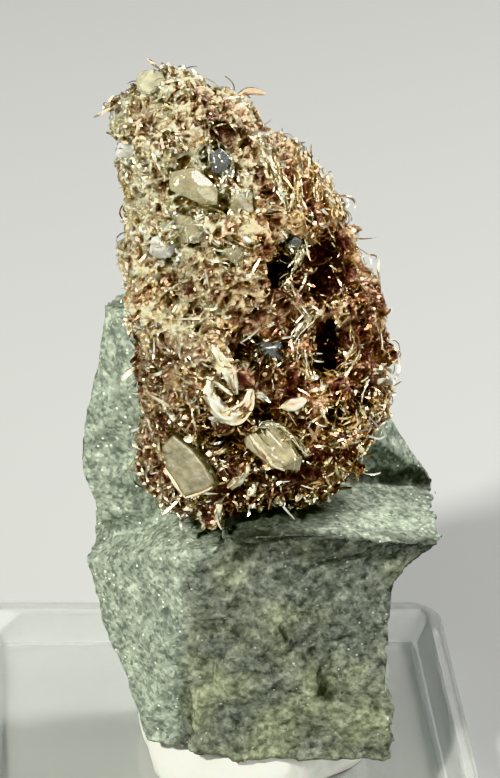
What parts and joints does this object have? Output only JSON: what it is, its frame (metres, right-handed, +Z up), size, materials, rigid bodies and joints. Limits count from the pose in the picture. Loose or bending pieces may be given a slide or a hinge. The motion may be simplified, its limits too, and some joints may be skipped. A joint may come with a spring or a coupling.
{
  "type": "native gold specimen",
  "caption": "Native gold leaf aggregate with quartz on a greenstone matrix, standing on putty in a shallow clear display tray.",
  "frame": {"origin": "centre of the display tray's underside", "axes": "+Z up; -Y towards the viewer; +X to the viewer's right; the tray's sides lie along X and Y"},
  "size_m": [0.032, 0.032, 0.0481],
  "materials": {
    "clear_plastic": "clear moulded polystyrene, glossy, lightly scuffed",
    "putty": "off-white mounting putty, smooth, slightly shiny, finger-pressed",
    "greenstone": "grey-green fine-grained greenstone with sparkling grains, olive mottling on the broken front",
    "gold": "bright pale gold leaves and wires, copper-brown in the hollows and on the right",
    "quartz": "clear to smoky pale yellow-green quartz, glassy"
  },
  "bodies": {
    "root": {"display_tray": "clear_plastic", "mounting_putty": "putty", "matrix_rock": "greenstone", "gold_mass": "gold", "quartz_plate": "quartz", "quartz_block": "quartz", "quartz_window": "quartz", "quartz_grain_4": "quartz", "quartz_grain_5": "quartz", "quartz_grain_6": "quartz", "quartz_grain_7": "quartz", "quartz_grain_8": "quartz", "quartz_grain_9": "quartz", "quartz_grain_10": "quartz", "quartz_grain_11": "quartz", "quartz_grain_12": "quartz"}
  },
  "joints": []
}
